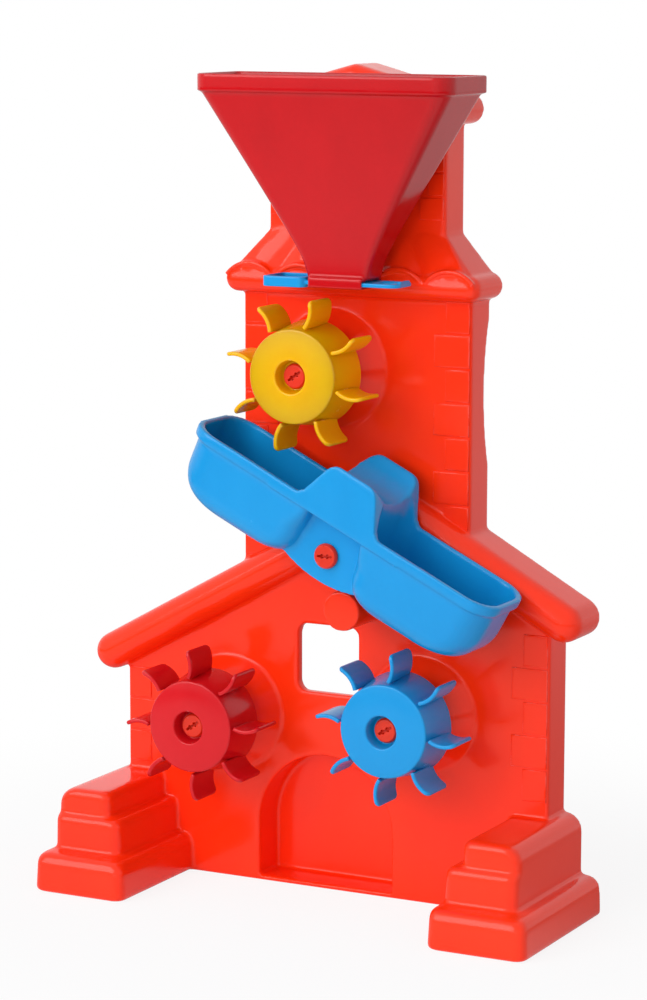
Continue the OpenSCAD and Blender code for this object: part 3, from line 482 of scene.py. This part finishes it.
# %% Paddle wheels
# Radii, and distances out of the wall, in millimetres
DRUM_R, DRUM_BACK, DRUM_FRONT, WELL_R, WELL_FLOOR = 25.9, 20.2, 46.2, 7.4, 38.2
HUB_R, HUB_BACK, BORE_R, WHEEL_WALL = 7.35, 18.5, 4.08, 2.2
drum_outline = [
    (BORE_R, WELL_FLOOR, 0), (WELL_R, WELL_FLOOR, 0.8), (WELL_R, DRUM_FRONT, 1.7), (DRUM_R, DRUM_FRONT, 3.6),
    (DRUM_R, DRUM_BACK, 0.6), (DRUM_R - WHEEL_WALL, DRUM_BACK, 0.6),
    (DRUM_R - WHEEL_WALL, DRUM_FRONT - WHEEL_WALL, 1.5),
    (WELL_R + WHEEL_WALL, DRUM_FRONT - WHEEL_WALL, 1), (WELL_R + WHEEL_WALL, WELL_FLOOR - WHEEL_WALL, 0.8),
    (HUB_R, WELL_FLOOR - WHEEL_WALL, 0.5), (HUB_R, HUB_BACK, 0.4), (BORE_R, HUB_BACK, 0)]
# A blade's thickness, tip radius, bend radius and the centre of its bend, then its two ends and its roundings
BLADE_T, BLADE_TIP, BLADE_BEND, BLADE_MID, BLADE_SINK = 2.0, 38.5, 13.5, 31.0, 11.83
BLADE_BACK, BLADE_FRONT, BLADE_ROOT, TIP_CORNER, BLADE_EDGE = 20.8, 43.0, 1.2, 3.2, 0.8


def blade_outline(tip, half):
    """The cross-section of a blade: an arc out to the tip, with a half thickness and a rounded tip."""
    root = DRUM_R - BLADE_ROOT
    first = math.atan2(-BLADE_SINK, root - BLADE_MID)
    last = math.atan2(-BLADE_SINK, tip - half - BLADE_MID)
    angles = [first + (last - first) * k / 14 for k in range(15)]

    def arc(radius, turn):
        return Vector((BLADE_MID + radius * math.cos(turn), BLADE_SINK + radius * math.sin(turn)))

    end = arc(BLADE_BEND, last)
    along = Vector((-math.sin(last), math.cos(last)))
    away = Vector((math.cos(last), math.sin(last)))
    tip_points = [end + half * (math.cos(t) * away + math.sin(t) * along)
                  for t in (math.pi * k / 8 for k in range(1, 8))]
    return ([arc(BLADE_BEND + half, t) for t in angles] + tip_points
            + [arc(BLADE_BEND - half, t) for t in reversed(angles)])


def blade_mesh():
    """One blade from its back edge to its front edge, as a stack of cross-sections."""
    mesh = bpy.data.meshes.new("blade")
    bm = bmesh.new()
    slices = []
    depths = [BLADE_EDGE * (1 - math.cos(math.radians(a))) for a in (0, 30, 60, 90)]
    depths += [TIP_CORNER * k / 4 for k in (2, 3, 4)]
    length = BLADE_FRONT - BLADE_BACK
    for depth in depths + [length - d for d in reversed(depths)]:
        near = min(depth, length - depth)
        edge = BLADE_EDGE - math.sqrt(max(BLADE_EDGE ** 2 - max(BLADE_EDGE - near, 0) ** 2, 0))
        corner = TIP_CORNER - math.sqrt(max(TIP_CORNER ** 2 - max(TIP_CORNER - near, 0) ** 2, 0))
        outline = blade_outline(BLADE_TIP - corner, BLADE_T / 2 - min(edge, BLADE_T / 2 - 0.05))
        slices.append([bm.verts.new((p.x * MM, -(BLADE_BACK + depth) * MM, p.y * MM)) for p in outline])
    for low, high in zip(slices, slices[1:]):
        for i in range(len(low)):
            bm.faces.new((low[i - 1], low[i], high[i], high[i - 1]))
    bm.faces.new(slices[0])
    bm.faces.new(slices[-1])
    bmesh.ops.recalc_face_normals(bm, faces=bm.faces)
    bm.to_mesh(mesh)
    bm.free()
    return mesh


def blade_ring_tree():
    tree, (blade, count, phase, plastic) = node_tree(
        "blade_ring", Count="Int", Phase="Float", Plastic="Material")
    points = Wire.node(tree, "GeometryNodePoints", None, {"Count": count})
    turn = phase + Wire.node(tree, "GeometryNodeInputIndex") * math.tau / count
    ring = Wire.node(tree, "GeometryNodeInstanceOnPoints", None,
                     {"Points": points, "Instance": blade,
                      "Rotation": Wire.node(tree, "ShaderNodeCombineXYZ", None, {"Y": turn})})
    finish_tree(tree, ring, plastic)
    return tree


def paddle_wheel(name, x, height, phase, plastic):
    """The blades round their drum, at an axle of the wall drawing, in place of the solid wheel."""
    wheel = grow(f"{name}_paddle_wheel", blade_mesh(), blade_rings, Count=8, Phase=-math.radians(phase),
                 Plastic=plastic)
    bm = lathe(drum_outline)
    bm.from_mesh(wheel.data)
    bmesh.ops.translate(bm, verts=bm.verts, vec=at(x, height, 0))
    for face in bm.faces:
        face.smooth = True
        face.material_index = 0
    bm.to_mesh(wheel.data)
    bm.free()
    wheel.data.materials.clear()
    wheel.data.materials.append(plastic)
    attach(wheel, f"{name}_wheel_body")
    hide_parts(f"{name}_wheel")


blade_rings = blade_ring_tree()
paddle_wheel("upper", -0.2, 268, 31, yellow)
paddle_wheel("left", -58, 87.6, 3.5, crimson)
paddle_wheel("right", 50.2, 96.8, 40, blue)

# %% [markdown]
# The skirt roof ends in barrel tiles. The front end of each is a raised arch over the eave, all alike and
# side by side, so a tree bends one arc, repeats it along the eave and gives it a round section.

# %% Tile arches
TOWER_X, TILE_W, TILE_COUNT = 12.75, 27.48, 5
ARCH_FOOT, ARCH_OUT, ARCH_RISE, ARCH_BEAD, ARCH_HALF = 313.3, 9.2, 6.0, 1.25, 0.455


def tile_arch_tree():
    tree, (_, count, pitch, rise, bead, plastic) = node_tree(
        "tile_arches", Count="Int", Pitch="Float", Rise="Float", Bead="Float", Plastic="Material")
    half = pitch * ARCH_HALF
    start = Wire.node(tree, "ShaderNodeCombineXYZ", None, {"X": 0 - half})
    middle = Wire.node(tree, "ShaderNodeCombineXYZ", None, {"Z": rise})
    end = Wire.node(tree, "ShaderNodeCombineXYZ", None, {"X": half})
    arc = Wire.node(tree, "GeometryNodeCurveArc", {"mode": "POINTS"},
                    {"Resolution": 32, "Start": start, "Middle": middle, "End": end})
    row = Wire.node(tree, "GeometryNodeMeshLine", None,
                    {"Count": count, "Offset": Wire.node(tree, "ShaderNodeCombineXYZ", None, {"X": pitch})})
    arcs = Wire.node(tree, "GeometryNodeInstanceOnPoints", None, {"Points": row, "Instance": arc})
    section = Wire.node(tree, "GeometryNodeCurvePrimitiveCircle", None, {"Resolution": 12, "Radius": bead})
    real = Wire.node(tree, "GeometryNodeRealizeInstances", None, {0: arcs})
    beads = Wire.node(tree, "GeometryNodeCurveToMesh", None, {"Curve": real, "Profile Curve": section,
                                                              "Fill Caps": True})
    finish_tree(tree, beads, plastic)
    return tree


arches = grow("tile_arches", bpy.data.meshes.new("tile_arches"), tile_arch_tree(), Count=TILE_COUNT,
              Pitch=TILE_W * MM, Rise=ARCH_RISE * MM, Bead=ARCH_BEAD * MM, Plastic=orange)
arches.data.transform(Matrix.Translation(at(TOWER_X - TILE_W * (TILE_COUNT - 1) / 2, ARCH_FOOT, ARCH_OUT)))
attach(arches, "house")

# %% [markdown]
# The studio: a pale floor, a white surround and large soft lamps. The background is white because
# camera, mirror and glass rays see white there, and the floor is part real diffuse white, so that the
# toy still casts its soft shadow on it. In mirror rays the floor is painted light: a painted bright pool
# in front of the toy that fades far off, and a painted shadow behind the toy.

# %% Floor, surround and lamps
FLOOR_HALF = 6.0
# How white the camera sees the floor under the toy, and where it has run out into white, in metres
FLOOR_WHITE, WHITE_FROM, WHITE_TO = 0.87, 0.15, 0.45


def studio_floor():
    """A pale floor that keeps the shadow near the toy and runs out into the white surround; in mirror rays it
    shows a painted pool of light and a painted shadow.
    """
    mesh = bpy.data.meshes.new("studio_floor")
    corners = [(x * FLOOR_HALF, y * FLOOR_HALF, 0) for x, y in ((-1, -1), (1, -1), (1, 1), (-1, 1))]
    mesh.from_pydata(corners, [], [(0, 1, 2, 3)])
    floor = bpy.data.objects.new("studio_floor", mesh)
    scene.collection.objects.link(floor)
    material = bpy.data.materials.new("studio_floor")
    material.use_nodes = True
    tree = material.node_tree
    tree.nodes.clear()
    path = tree.nodes.new("ShaderNodeLightPath")
    direct = Wire(tree, path.outputs["Is Camera Ray"])
    mirrored = Wire(tree, path.outputs["Is Glossy Ray"]) + Wire(tree, path.outputs["Is Transmission Ray"])
    place = Wire.node(tree, "ShaderNodeTexCoord", out="Object")
    away = Wire.node(tree, "ShaderNodeVectorMath", {"operation": "LENGTH"}, {0: place}, "Value")
    seen = direct * (FLOOR_WHITE + (1 - FLOOR_WHITE) * away.band(WHITE_FROM, WHITE_TO)) + mirrored
    split = tree.nodes.new("ShaderNodeSeparateXYZ")
    Wire.plug(tree, split.inputs[0], place)
    # Mirror rays see the floor as painted light: in front, a painted bright pool near the toy that fades far
    # off; behind, a painted shadow of the toy near it that brightens with distance
    behind = Wire(tree, split.outputs["Y"]).band(-0.1, 0.1)
    before = 1 - 0.9 * away.band(0.55, 1.5)
    shaded = 0.35 + 0.45 * away.band(0.2, 1.3)
    glow = direct + mirrored * (before + behind * (shaded - before))
    matt = Wire.node(tree, "ShaderNodeBsdfDiffuse", None, {"Color": (0.9, 0.9, 0.9, 1)})
    white = Wire.node(tree, "ShaderNodeEmission", None, {"Color": (1, 1, 1, 1), "Strength": glow})
    floor_mix = Wire.node(tree, "ShaderNodeMixShader", None, {0: seen, 1: matt, 2: white})
    Wire.node(tree, "ShaderNodeOutputMaterial", None, {"Surface": floor_mix})
    mesh.materials.append(material)


def lamp(name, place, target, size, watts):
    light = bpy.data.lights.new(name, "AREA")
    light.shape, light.size, light.energy = "SQUARE", size, watts
    spot = bpy.data.objects.new(name, light)
    spot.location = place
    spot.rotation_euler = (Vector(target) - Vector(place)).to_track_quat("-Z", "Y").to_euler()
    scene.collection.objects.link(spot)
    return spot


studio_floor()
world = bpy.data.worlds.new("surround")
scene.world = world
world.use_nodes = True
tree = world.node_tree
tree.nodes.clear()
path = tree.nodes.new("ShaderNodeLightPath")
seen = (Wire(tree, path.outputs["Is Camera Ray"]) + Wire(tree, path.outputs["Is Glossy Ray"])
        + Wire(tree, path.outputs["Is Transmission Ray"]))
shade = Wire.node(tree, "ShaderNodeBackground", None, {"Color": (0.5, 0.5, 0.52, 1), "Strength": 1.0})
white = Wire.node(tree, "ShaderNodeBackground", None, {"Color": (1, 1, 1, 1), "Strength": 1.0})
Wire.node(tree, "ShaderNodeOutputWorld", None,
          {"Surface": Wire.node(tree, "ShaderNodeMixShader", None, {0: seen, 1: shade, 2: white})})
lamp("key", (-1.0, -1.75, 1.5), (0, 0, 0.2), 1.8, 34)
fill = lamp("fill", (0.3, -2.2, 0.5), (0, 0, 0.2), 1.4, 18)
fill.visible_glossy = False
print("studio ready")
